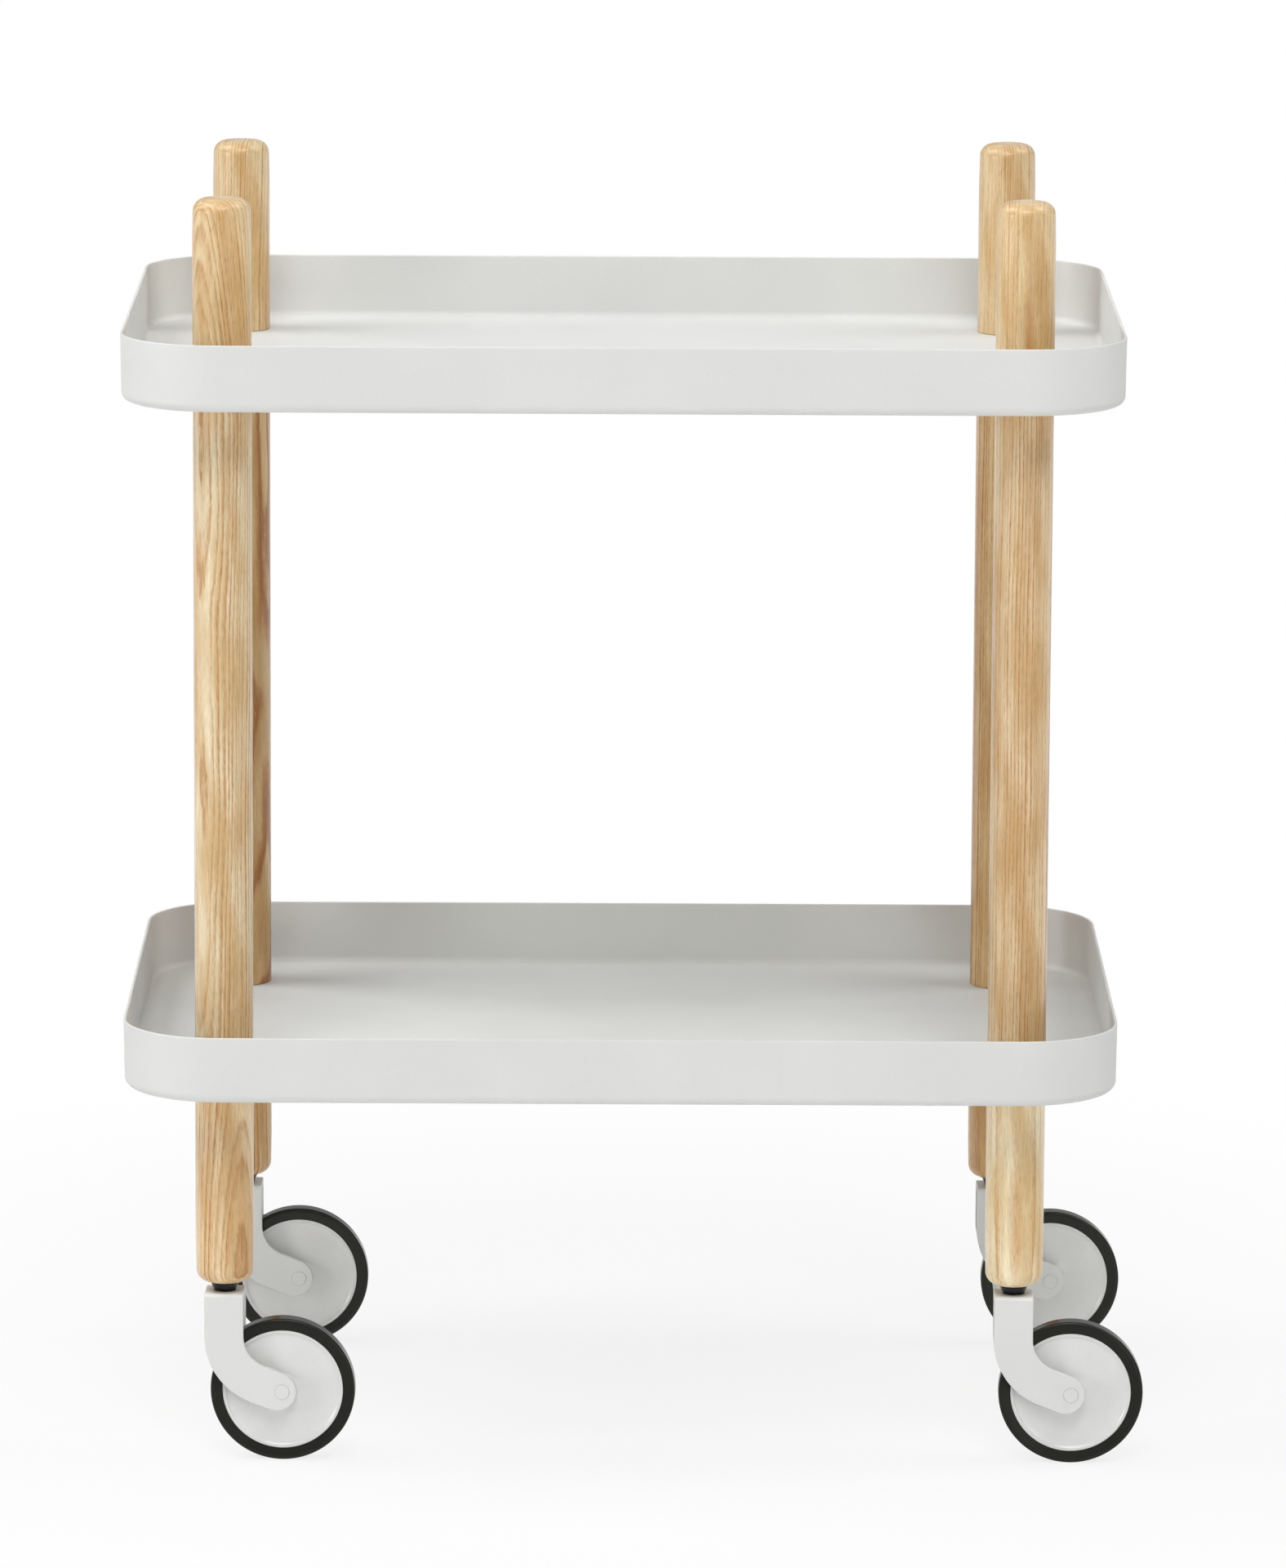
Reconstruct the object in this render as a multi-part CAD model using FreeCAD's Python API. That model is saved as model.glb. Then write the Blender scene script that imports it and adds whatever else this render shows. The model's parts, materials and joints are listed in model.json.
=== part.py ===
"""Two-tier serving trolley.

Two drawn-steel trays, four round wooden legs and four swivel casters. Each leg is three
turned posts, clamped against the trays by threaded studs. Millimetres, +Z up, floor at z = 0.
"""
import FreeCAD, Part
import math
import os

os.makedirs("parts", exist_ok=True)

# Trays
tray_length = 500.0
tray_width = 350.0
tray_height = 33.6
tray_corner_radius = 50.0
tray_sheet = 1.5
tray_foot_radius = 4.5
tray_rim_rounding = 0.6
tray_wall_draft_degrees = 0.8

# Legs: their places in from the trays' rims, the turned posts and the form of their ends
leg_inset_x = 50.5
leg_inset_y = 52.5
post_diameter = 29.4
top_post_length = 98.8
middle_post_length = 346.2
bottom_post_length = 102.5
post_end_rounding = 6.5
post_end_taper = 0.3
post_end_taper_length = 22.0
post_edge_break = 0.5

# Studs and threaded inserts that hold the posts
stud_diameter = 8.0
stud_engagement = 24.0
stud_end_chamfer = 0.8
stud_hole_clearance = 0.5
insert_wall = 2.2
insert_length = 26.0
insert_edge_break = 0.4
insert_bore_relief = 3.0
thread_clearance = 0.05

# Wheel: tyre, hub and the sleeve that carries them
wheel_diameter = 73.2
tyre_section_height = 6.1
tyre_width = 10.0
tyre_side_taper = 0.6
tyre_taper_height = 4.0
tyre_edge_rounding = 1.3
tyre_tongue_height = 1.2
tyre_tongue_width = 4.0
hub_boss_diameter = 14.0
hub_boss_rounding = 0.8
hub_boss_fillet = 2.0
hub_web_rise = 1.8
hub_web_sag = 0.6
hub_lip_width = 1.1
hub_lip_set_back = 0.3
hub_lip_rounding = 0.5
hub_cove_radius = 3.2
hub_cove_slope_degrees = 42.0
axle_sleeve_diameter = 10.0
wheel_running_clearance = 0.05
wheel_side_play = 0.35

# Fork: a strap outline in side view, bent to a channel over the wheel
fork_sheet = 2.5
fork_gap = 16.5
fork_bend_radius = 2.2
fork_inner_bend_radius = 0.6
fork_edge_rounding = 0.6
fork_strap_width = 19.8
fork_rise = 50.6
fork_turn_inner_radius = 16.3
fork_arm_dip_degrees = 21.5
caster_trail = 29.4
wheel_pin_set_back = 2.7
wheel_pin_diameter = 7.4
wheel_pin_stand_out = 0.45
wheel_pin_edge_break = 0.3
pin_hole_edge_break = 0.25

# Swivel: washer, collar and the stem's riveted neck
thrust_washer_diameter = 11.4
thrust_washer_thickness = 0.7
thrust_washer_edge_break = 0.2
swivel_play = 0.2
swivel_running_clearance = 0.05
swivel_neck_diameter = 6.0
collar_foot_diameter = 11.2
collar_waist_diameter = 13.2
collar_waist_height = 2.2
collar_flange_diameter = 14.0
collar_flange_height = 1.7
collar_edge_rounding = 0.35
rivet_head_diameter = 9.2
rivet_head_height = 1.8

# Angles at which the casters stand, seen from above, at rest
rest_swivel_degrees = {"front_left": -1.5, "front_right": -1.0, "back_left": 0.0, "back_right": 0.0}

# Sides of the trolley on which each leg stands, along X and along Y
corner_sides = {"front_left": (-1, -1), "front_right": (1, -1), "back_left": (-1, 1), "back_right": (1, 1)}
corner_names = list(corner_sides)

# Levels, from the floor up
axle_height = wheel_diameter / 2
fork_top = axle_height + fork_rise
fork_ceiling = fork_top - fork_sheet
collar_foot = fork_top + thrust_washer_thickness + swivel_play
collar_flange_foot = collar_foot + collar_waist_height
bottom_post_foot = collar_flange_foot + collar_flange_height
lower_tray_foot = bottom_post_foot + bottom_post_length
middle_post_foot = lower_tray_foot + tray_sheet
upper_tray_foot = middle_post_foot + middle_post_length
top_post_foot = upper_tray_foot + tray_sheet

# Each leg's centre line follows the trays' rims
leg_half_spacing_x = tray_length / 2 - leg_inset_x
leg_half_spacing_y = tray_width / 2 - leg_inset_y

# The origin lies under the middle of the whole object, whose wheels trail past the trays
caster_reach = leg_half_spacing_x + caster_trail + wheel_diameter / 2
tray_centre_x = (tray_length / 2 - caster_reach) / 2

# Sizes that several pieces share
post_radius = post_diameter / 2
stud_radius = stud_diameter / 2
insert_radius = stud_radius + insert_wall
wheel_pin_radius = wheel_pin_diameter / 2
fork_half_gap = fork_gap / 2
fork_half_depth = fork_half_gap + fork_sheet
swivel_bore_radius = swivel_neck_diameter / 2 + swivel_running_clearance
wheel_radius = wheel_diameter / 2
tyre_seat_radius = wheel_radius - tyre_section_height

origin = FreeCAD.Vector(0, 0, 0)
along_x = FreeCAD.Vector(1, 0, 0)
along_y = FreeCAD.Vector(0, 1, 0)
up = FreeCAD.Vector(0, 0, 1)

# Places closer than this count as the same when edges are picked
match = post_edge_break / 1000


def corner_place(name):
    """Centre line of a leg, on the floor."""
    side_x, side_y = corner_sides[name]
    return FreeCAD.Vector(tray_centre_x + side_x * leg_half_spacing_x, side_y * leg_half_spacing_y, 0)


def xz(x, z):
    """Point of a side outline, or of a turned outline with its radius along X."""
    return FreeCAD.Vector(x, 0, z)


def yz(y, z):
    return FreeCAD.Vector(0, y, z)


def closed_wire(start, steps):
    """Outline from a start point. A step is the next point, or (middle, end) for an arc."""
    edges = []
    here = start
    for step in steps + [start]:
        if isinstance(step, tuple):
            middle, there = step
            edges.append(Part.Arc(here, middle, there).toShape())
        else:
            there = step
            if not there.isEqual(here, match):
                edges.append(Part.LineSegment(here, there).toShape())
        here = there
    return Part.Wire(edges)


def on_circle(centre, radius, degrees):
    """Point of a circle in the XZ plane, the angle counted from +X towards +Z."""
    angle = math.radians(degrees)
    return centre + xz(radius * math.cos(angle), radius * math.sin(angle))


def arc_step(centre, radius, first_degrees, last_degrees):
    """Arc step of an outline about a centre: its middle point and its end point."""
    middle = on_circle(centre, radius, (first_degrees + last_degrees) / 2)
    return middle, on_circle(centre, radius, last_degrees)


def turned(start, steps):
    """Solid of revolution about Z, from an outline in the XZ plane."""
    return Part.Face(closed_wire(start, steps)).revolve(origin, up, 360)


def turned_about_axle(start, steps):
    """Solid of revolution about the wheel's axle; the outline's Z runs along the axle."""
    solid = turned(start, steps)
    solid.rotate(origin, along_x, 90)
    solid.translate(xz(caster_trail, axle_height))
    return solid


def upright_cylinder(radius, height, foot):
    return Part.makeCylinder(radius, height, foot, up)


def flat_edges(shape, height):
    """Edges that lie wholly at one height."""
    return [edge for edge in shape.Edges
            if abs(edge.BoundBox.ZMin - height) < match and abs(edge.BoundBox.ZMax - height) < match]


def rounded_rectangle(length, width, radius, height):
    """Wire of a rounded rectangle in a horizontal plane, about the tray's centre."""
    inner_x = length / 2 - radius
    inner_y = width / 2 - radius
    corner_centres = [(inner_x, inner_y), (-inner_x, inner_y), (-inner_x, -inner_y), (inner_x, -inner_y)]
    arcs = []
    for index, (x, y) in enumerate(corner_centres):
        points = []
        for share in (0, 0.5, 1):
            angle = math.radians(90 * (index + share))
            points.append(FreeCAD.Vector(x + radius * math.cos(angle), y + radius * math.sin(angle), height))
        arcs.append(points)
    edges = []
    for index, (first, middle, last) in enumerate(arcs):
        edges.append(Part.Arc(first, middle, last).toShape())
        next_first = arcs[(index + 1) % len(arcs)][0]
        edges.append(Part.LineSegment(last, next_first).toShape())
    return Part.Wire(edges)


def tray_block(inset, foot, top, foot_radius):
    """Drafted block with a rounded foot, set in from the tray's outer wall."""
    lean = tray_height * math.tan(math.radians(tray_wall_draft_degrees))
    sections = []
    for height, offset in ((foot, inset + lean), (top, inset)):
        sections.append(rounded_rectangle(tray_length - 2 * offset, tray_width - 2 * offset,
                                          tray_corner_radius - offset, height))
    block = Part.makeLoft(sections, True, True)
    return block.makeFillet(foot_radius, flat_edges(block, foot))


def tray(foot):
    """Drawn sheet tray with a rounded foot, a softened rim and its stud holes."""
    top = foot + tray_height
    outside = tray_block(0, foot, top, tray_foot_radius)
    inside = tray_block(tray_sheet, foot + tray_sheet, top, tray_foot_radius - tray_sheet)
    shell = outside.cut(inside)
    shell = shell.makeFillet(tray_rim_rounding, flat_edges(shell, top))
    shell.translate(FreeCAD.Vector(tray_centre_x, 0, 0))
    for name in corner_names:
        hole_foot = corner_place(name) + xz(0, foot)
        shell = shell.cut(upright_cylinder(stud_radius + stud_hole_clearance, tray_sheet, hole_foot))
    return shell


def free_end(direction, end):
    """Outline of a post's rounded end: on the wall, the taper's end, the rounding and its disc."""
    necked = post_radius - post_end_taper
    disc = necked - post_end_rounding
    centre = xz(disc, end - direction * post_end_rounding)
    rounding = arc_step(centre, post_end_rounding, 0, direction * 90)
    return [xz(post_radius, end - direction * post_end_taper_length), xz(necked, centre.z), rounding]


def flat_end(direction, end):
    """Outline of a post's flat end, with its edge broken."""
    return [xz(post_radius, end - direction * post_edge_break), xz(post_radius - post_edge_break, end)]


def backwards(steps):
    """The same stretch of outline, walked from its last point to its first."""
    places = [step[1] if isinstance(step, tuple) else step for step in steps]
    walked = [places[-1]]
    for index in range(len(steps) - 1, 0, -1):
        step = steps[index]
        there = places[index - 1]
        walked.append((step[0], there) if isinstance(step, tuple) else there)
    return walked


def post(length, round_top=False, round_foot=False, bored_top=False, bored_foot=False):
    """Turned post with its foot at z = 0 and bores for its threaded inserts."""
    foot = free_end(-1, 0) if round_foot else flat_end(-1, 0)
    top = free_end(1, length) if round_top else flat_end(1, length)
    solid = turned(origin, backwards(foot) + top + [xz(0, length)])
    bore_depth = insert_length + insert_bore_relief
    if bored_foot:
        solid = solid.cut(upright_cylinder(insert_radius, bore_depth, origin))
    if bored_top:
        solid = solid.cut(upright_cylinder(insert_radius, bore_depth, xz(0, length - bore_depth)))
    return solid


def insert():
    """Threaded insert with its lower face at z = 0."""
    bore_radius = stud_radius + thread_clearance
    return turned(xz(bore_radius, 0), [
        xz(insert_radius - insert_edge_break, 0),
        xz(insert_radius, insert_edge_break),
        xz(insert_radius, insert_length - insert_edge_break),
        xz(insert_radius - insert_edge_break, insert_length),
        xz(bore_radius, insert_length),
    ])


def stud():
    """Double-ended stud, centred on its tray's sheet."""
    half = tray_sheet / 2 + stud_engagement
    return turned(xz(0, -half), [
        xz(stud_radius - stud_end_chamfer, -half),
        xz(stud_radius, stud_end_chamfer - half),
        xz(stud_radius, half - stud_end_chamfer),
        xz(stud_radius - stud_end_chamfer, half),
        xz(0, half),
    ])


def caster_stem():
    """Threaded stem: a domed rivet head, the neck that the fork swivels on and the shank."""
    neck_radius = swivel_neck_diameter / 2
    head_radius = rivet_head_diameter / 2
    head_top = fork_ceiling - swivel_play
    head_foot = head_top - rivet_head_height
    diagonal_share = math.sqrt(0.5)
    crown = xz(head_radius * diagonal_share, head_top - rivet_head_height * diagonal_share)
    shank_top = bottom_post_foot + stud_engagement
    return turned(xz(0, head_foot), [
        (crown, xz(head_radius, head_top)),
        xz(neck_radius, head_top),
        xz(neck_radius, collar_foot),
        xz(stud_radius, collar_foot),
        xz(stud_radius, shank_top - stud_end_chamfer),
        xz(stud_radius - stud_end_chamfer, shank_top),
        xz(0, shank_top),
    ])


def swivel_collar():
    """Two-tier collar: a flange under the leg and a belly that narrows towards the washer."""
    foot_radius = collar_foot_diameter / 2
    waist_radius = collar_waist_diameter / 2
    rounded = collar_flange_diameter / 2 - collar_edge_rounding
    belly_share = 2 / 3
    belly = xz(foot_radius + (waist_radius - foot_radius) * belly_share,
               collar_flange_foot - collar_waist_height * belly_share)
    return turned(xz(stud_radius, collar_foot), [
        xz(foot_radius, collar_foot),
        (belly, xz(waist_radius, collar_flange_foot)),
        xz(rounded, collar_flange_foot),
        arc_step(xz(rounded, collar_flange_foot + collar_edge_rounding), collar_edge_rounding, -90, 0),
        xz(rounded + collar_edge_rounding, bottom_post_foot - collar_edge_rounding),
        arc_step(xz(rounded, bottom_post_foot - collar_edge_rounding), collar_edge_rounding, 0, 90),
        xz(stud_radius, bottom_post_foot),
    ])


def thrust_washer():
    """Washer between the collar and the fork, with its upper edge broken."""
    outer = thrust_washer_diameter / 2
    top = fork_top + thrust_washer_thickness
    return turned(xz(swivel_bore_radius, fork_top), [
        xz(outer, fork_top),
        xz(outer, top - thrust_washer_edge_break),
        xz(outer - thrust_washer_edge_break, top),
        xz(swivel_bore_radius, top),
    ])


def strap_outline():
    """Side outline of the fork: upright neck, one turn, a dipping arm and its full-round end."""
    half = fork_strap_width / 2
    middle_radius = fork_turn_inner_radius + half
    dip = math.radians(fork_arm_dip_degrees)
    forward = xz(math.cos(dip), -math.sin(dip))
    upward = xz(math.sin(dip), math.cos(dip))
    end = xz(caster_trail - wheel_pin_set_back, axle_height)
    turn_x = half + fork_turn_inner_radius
    arm_run = (end.x - turn_x + middle_radius * math.sin(dip)) / math.cos(dip)
    turn = xz(turn_x, end.z + arm_run * math.sin(dip) + middle_radius * math.cos(dip))
    arm_side = 270 - fork_arm_dip_degrees
    return closed_wire(xz(-half, fork_top), [
        xz(-half, turn.z),
        arc_step(turn, fork_turn_inner_radius + fork_strap_width, 180, arm_side),
        end - upward * half,
        (end + forward * half, end + upward * half),
        turn - upward * fork_turn_inner_radius,
        arc_step(turn, fork_turn_inner_radius, arm_side, 180),
        xz(half, fork_top),
    ])


def bend(side, outer_y, top, radius):
    """Rounded shoulder of the channel, walked from the -Y side to the +Y side."""
    diagonal = radius * (1 - math.sqrt(0.5))
    wall = yz(side * outer_y, top - radius)
    roof = yz(side * (outer_y - radius), top)
    middle = yz(side * (outer_y - diagonal), top - diagonal)
    return [wall, (middle, roof)] if side < 0 else [roof, (middle, wall)]


def channel_outline():
    """Section of the fork across the wheel: sheet bent down at both sides."""
    outside = bend(-1, fork_half_depth, fork_top, fork_bend_radius)
    outside += bend(1, fork_half_depth, fork_top, fork_bend_radius)
    inside = bend(-1, fork_half_gap, fork_ceiling, fork_inner_bend_radius)
    inside += bend(1, fork_half_gap, fork_ceiling, fork_inner_bend_radius)
    steps = outside + [yz(fork_half_depth, 0), yz(fork_half_gap, 0)]
    steps += backwards(inside) + [yz(-fork_half_gap, 0)]
    return closed_wire(yz(-fork_half_depth, 0), steps)


def is_outer_rim(edge):
    """Whether an edge bounds the fork's outer skin: round the cheeks and over the two bends."""
    box = edge.BoundBox
    on_cheek = box.YLength < match and abs(abs(box.YMin) - fork_half_depth) < match
    bend_line = on_cheek and box.ZLength < match and box.XLength > fork_strap_width - match
    at_open_side = box.XLength < match and abs(abs(box.XMin) - fork_strap_width / 2) < match
    over_the_top = at_open_side and box.ZMax > fork_top - match
    return over_the_top or (on_cheek and not bend_line)


def pin_hole(face_y, inward):
    """Half of the pin's hole with its broken edge, from one outer face to the middle."""
    face = FreeCAD.Vector(caster_trail, face_y, axle_height)
    hole = Part.makeCylinder(wheel_pin_radius, fork_half_depth, face, inward)
    broken_edge = Part.makeCone(wheel_pin_radius + pin_hole_edge_break, wheel_pin_radius,
                                pin_hole_edge_break, face, inward)
    return hole.fuse(broken_edge)


def caster_fork():
    """Fork under its leg's centre line, trailing towards +X."""
    strap = Part.Face(strap_outline())
    strap.translate(along_y * -fork_half_depth)
    strap_block = strap.extrude(along_y * 2 * fork_half_depth)
    reach = caster_trail + fork_strap_width
    channel = Part.Face(channel_outline())
    channel.translate(along_x * -reach)
    fork = strap_block.common(channel.extrude(along_x * 2 * reach))
    fork = fork.makeFillet(fork_edge_rounding, [edge for edge in fork.Edges if is_outer_rim(edge)])
    fork = fork.cut(pin_hole(-fork_half_depth, along_y))
    fork = fork.cut(pin_hole(fork_half_depth, -along_y))
    return fork.cut(upright_cylinder(swivel_bore_radius, fork_sheet, xz(0, fork_ceiling)))


def wheel_pin():
    """Pin through both cheeks, proud of them at each end."""
    half = fork_half_depth + wheel_pin_stand_out
    return turned_about_axle(xz(0, -half), [
        xz(wheel_pin_radius - wheel_pin_edge_break, -half),
        xz(wheel_pin_radius, wheel_pin_edge_break - half),
        xz(wheel_pin_radius, half - wheel_pin_edge_break),
        xz(wheel_pin_radius - wheel_pin_edge_break, half),
        xz(0, half),
    ])


def axle_sleeve():
    """Sleeve clamped between the cheeks; the wheel turns on it."""
    outer = axle_sleeve_diameter / 2
    return turned_about_axle(xz(wheel_pin_radius, -fork_half_gap), [
        xz(outer, -fork_half_gap),
        xz(outer, fork_half_gap),
        xz(wheel_pin_radius, fork_half_gap),
    ])


def tyre():
    """Tyre with tapered flanks, a flat tread and a groove for the hub's tongue."""
    seat = tyre_seat_radius
    half = tyre_width / 2
    flank_half = half - tyre_side_taper
    rounding = tyre_edge_rounding
    shoulder = wheel_radius - rounding
    tongue_half = tyre_tongue_width / 2
    groove = seat + tyre_tongue_height
    return turned_about_axle(xz(seat, -flank_half), [
        xz(seat + tyre_taper_height, -half),
        xz(shoulder, -half),
        arc_step(xz(shoulder, rounding - half), rounding, -90, 0),
        xz(wheel_radius, half - rounding),
        arc_step(xz(shoulder, half - rounding), rounding, 0, 90),
        xz(seat + tyre_taper_height, half),
        xz(seat, flank_half),
        xz(seat, tongue_half),
        xz(groove, tongue_half),
        xz(groove, -tongue_half),
        xz(seat, -tongue_half),
    ])


def hub_face():
    """Outline of the hub's +Z face, from its bore to the tyre's seat."""
    bore = axle_sleeve_diameter / 2 + wheel_running_clearance
    boss = hub_boss_diameter / 2
    boss_half = fork_half_gap - wheel_side_play
    boss_rounding = hub_boss_rounding
    lip = tyre_seat_radius - hub_lip_width
    lip_half = tyre_width / 2 - tyre_side_taper - hub_lip_set_back
    slope = 90 + hub_cove_slope_degrees
    lip_centre = xz(lip, lip_half - hub_lip_rounding)
    cove_centre = on_circle(lip_centre, hub_lip_rounding + hub_cove_radius, slope)
    web_end = on_circle(cove_centre, hub_cove_radius, -90)
    web_start = xz(boss + hub_boss_fillet, web_end.z + hub_web_rise)
    fillet_centre = web_start + xz(0, hub_boss_fillet)
    web_middle = (web_start + web_end) / 2 - xz(0, hub_web_sag)
    return [
        xz(bore, boss_half),
        xz(boss - boss_rounding, boss_half),
        arc_step(xz(boss - boss_rounding, boss_half - boss_rounding), boss_rounding, 90, 0),
        xz(boss, fillet_centre.z),
        arc_step(fillet_centre, hub_boss_fillet, 180, 270),
        (web_middle, web_end),
        arc_step(cove_centre, hub_cove_radius, -90, slope - 180),
        arc_step(lip_centre, hub_lip_rounding, slope, 90),
        xz(tyre_seat_radius, lip_half),
    ]


def wheel_hub():
    """Dished hub: boss, a web that hollows towards a cove and its lip, and the tyre's tongue."""
    tongue_half = tyre_tongue_width / 2
    tongue = tyre_seat_radius + tyre_tongue_height
    face = hub_face()
    steps = face[1:] + [
        xz(tyre_seat_radius, tongue_half),
        xz(tongue, tongue_half),
        xz(tongue, -tongue_half),
        xz(tyre_seat_radius, -tongue_half),
    ]
    for step in backwards(face):
        points = step if isinstance(step, tuple) else (step,)
        mirrored = tuple(xz(point.x, -point.z) for point in points)
        steps.append(mirrored if len(mirrored) > 1 else mirrored[0])
    return turned_about_axle(face[0], steps)


def save(name, solids):
    """Write one node; several solids are written as a group."""
    shape = Part.makeCompound(solids) if len(solids) > 1 else solids[0]
    if not shape.isValid():
        raise RuntimeError(name + " is not valid")
    shape.exportStep("parts/" + name + ".step")


def placed(solid, name, height=0):
    """Copy of a solid, carried to a leg's centre line."""
    copy = solid.copy()
    copy.translate(corner_place(name) + xz(0, height))
    return copy


def swivelled(solid, name):
    """Copy of a caster piece, turned to its rest angle and carried to its leg."""
    copy = solid.copy()
    copy.rotate(origin, up, rest_swivel_degrees[name])
    return placed(copy, name)


def save_trays():
    save("upper_tray", [tray(upper_tray_foot)])
    save("lower_tray", [tray(lower_tray_foot)])


def save_posts():
    top = post(top_post_length, round_top=True, bored_foot=True)
    middle = post(middle_post_length, bored_foot=True, bored_top=True)
    bottom = post(bottom_post_length, round_foot=True, bored_foot=True, bored_top=True)
    for name in corner_names:
        save(name + "_top_post", [placed(top, name, top_post_foot)])
        save(name + "_middle_post", [placed(middle, name, middle_post_foot)])
        save(name + "_bottom_post", [placed(bottom, name, bottom_post_foot)])


def save_on_all_legs(name, solid, heights):
    save(name, [placed(solid, corner, height) for corner in corner_names for height in heights])


def save_fastenings():
    sleeve = insert()
    save_on_all_legs("top_post_inserts", sleeve, [top_post_foot])
    save_on_all_legs("middle_post_inserts", sleeve, [middle_post_foot, upper_tray_foot - insert_length])
    save_on_all_legs("bottom_post_inserts", sleeve, [lower_tray_foot - insert_length])
    save_on_all_legs("caster_inserts", sleeve, [bottom_post_foot])
    rod = stud()
    save_on_all_legs("upper_tray_studs", rod, [upper_tray_foot + tray_sheet / 2])
    save_on_all_legs("lower_tray_studs", rod, [lower_tray_foot + tray_sheet / 2])


def save_casters():
    fixed_pieces = {"caster_stem": caster_stem(), "swivel_collar": swivel_collar()}
    turning_pieces = {
        "thrust_washer": thrust_washer(),
        "caster_fork": caster_fork(),
        "wheel_pin": wheel_pin(),
        "axle_sleeve": axle_sleeve(),
        "wheel_hub": wheel_hub(),
        "tyre": tyre(),
    }
    for name in corner_names:
        for piece, solid in fixed_pieces.items():
            save(name + "_" + piece, [placed(solid, name)])
        for piece, solid in turning_pieces.items():
            save(name + "_" + piece, [swivelled(solid, name)])


save_trays()
save_posts()
save_fastenings()
save_casters()
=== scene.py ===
"""Looks of the two-tier serving trolley: finishes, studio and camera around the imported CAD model."""

import bpy
import json
import math
from mathutils import Matrix, Vector


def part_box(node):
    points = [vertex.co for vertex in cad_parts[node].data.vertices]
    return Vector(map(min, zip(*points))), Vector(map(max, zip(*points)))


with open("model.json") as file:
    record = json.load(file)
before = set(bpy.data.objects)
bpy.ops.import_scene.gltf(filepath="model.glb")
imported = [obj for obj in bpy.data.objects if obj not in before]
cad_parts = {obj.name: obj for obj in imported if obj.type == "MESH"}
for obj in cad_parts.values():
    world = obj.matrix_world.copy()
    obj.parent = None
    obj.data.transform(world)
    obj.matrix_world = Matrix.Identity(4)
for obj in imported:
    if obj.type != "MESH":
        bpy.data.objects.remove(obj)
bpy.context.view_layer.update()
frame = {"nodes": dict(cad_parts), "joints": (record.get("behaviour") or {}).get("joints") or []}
bpy.ops.object.select_all(action="DESELECT")

MM = 0.001
WHITE = (1, 1, 1, 1)
CORNERS = ("front_left", "front_right", "back_left", "back_right")


# Shader helpers

# Spans of a noise: nearly all of its values, and the common ones
MOST_NOISE = (0.25, 0.75)
COMMON_NOISE = (0.3, 0.7)
NOISE_MIDDLE = 0.5
# Detail and roughness of a noise
SMOOTH = (1.0, 0.5)
SOFT = (2.0, 0.5)
CLOUDY = (3.0, 0.5)
GRAINY = (2.0, 0.6)
FINE = (3.0, 0.6)
ROUGH = (3.0, 0.65)
# The whole of a fade, and the levels of one that goes out
WHOLE = (0.0, 1.0)
GOING_OUT = (1.0, 0.0)
# What the group of each finish gives to its material
SKIN = (("Colour", "Color"), ("Roughness", "Float"), ("Height", "Float"))


def feed(tree, node, inputs):
    """Gives each input of a node a value, or the socket that feeds it."""
    for name, value in inputs.items():
        if isinstance(value, bpy.types.NodeSocket):
            tree.links.new(value, node.inputs[name])
        else:
            node.inputs[name].default_value = value
    return node


def shader_node(tree, kind, inputs=None, **properties):
    """New node of a material, a group or the world, with its properties and inputs set."""
    node = tree.nodes.new("ShaderNode" + kind)
    for name, value in properties.items():
        setattr(node, name, value)
    return feed(tree, node, inputs or {})


def calc(tree, operation, *terms):
    """Result of one sum on numbers."""
    return shader_node(tree, "Math", dict(enumerate(terms)), operation=operation).outputs[0]


def product(tree, result, *factors):
    """Numbers multiplied one after the other."""
    for factor in factors:
        result = calc(tree, "MULTIPLY", result, factor)
    return result


def calc_vector(tree, operation, first, second):
    """Result of one sum on places."""
    return shader_node(tree, "VectorMath", {0: first, 1: second}, operation=operation).outputs[0]


def scaled(tree, vector, factor):
    """A place made longer or shorter by a number."""
    return shader_node(tree, "VectorMath", {0: vector, "Scale": factor}, operation="SCALE").outputs[0]


def length(tree, vector):
    """How far a place is from its origin."""
    return shader_node(tree, "VectorMath", {0: vector}, operation="LENGTH").outputs["Value"]


def split_place(tree, vector):
    """The three numbers of a place."""
    return shader_node(tree, "SeparateXYZ", {0: vector}).outputs


def noise(tree, place, cells, kind):
    """Noise on a place in mm; cells says how many of its cells lie on a mm, in each direction."""
    spread = calc_vector(tree, "MULTIPLY", place, cells)
    return shader_node(tree, "TexNoise", {
        "Vector": spread, "Scale": 1.0, "Detail": kind[0], "Roughness": kind[1]}).outputs


def noise_level(tree, place, cells, kind=SOFT):
    """Noise as one number of 0 to 1."""
    return noise(tree, place, cells, kind)["Fac"]


def noise_push(tree, place, cells, kind):
    """Noise as a small move in any direction."""
    middle = (NOISE_MIDDLE, NOISE_MIDDLE, NOISE_MIDDLE)
    return calc_vector(tree, "SUBTRACT", noise(tree, place, cells, kind)["Color"], middle)


def ramp(tree, value, span, levels=WHOLE):
    """Smooth step from one level to the next while a value crosses a span."""
    return shader_node(tree, "MapRange", {
        "Value": value, "From Min": span[0], "From Max": span[1], "To Min": levels[0], "To Max": levels[1]},
        interpolation_type="SMOOTHSTEP").outputs[0]


def mixed(tree, share, first, second, blend="MIX"):
    """Colour between two colours."""
    mix = shader_node(tree, "Mix", {0: share, 6: first, 7: second}, data_type="RGBA", blend_type=blend)
    return mix.outputs[2]


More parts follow.
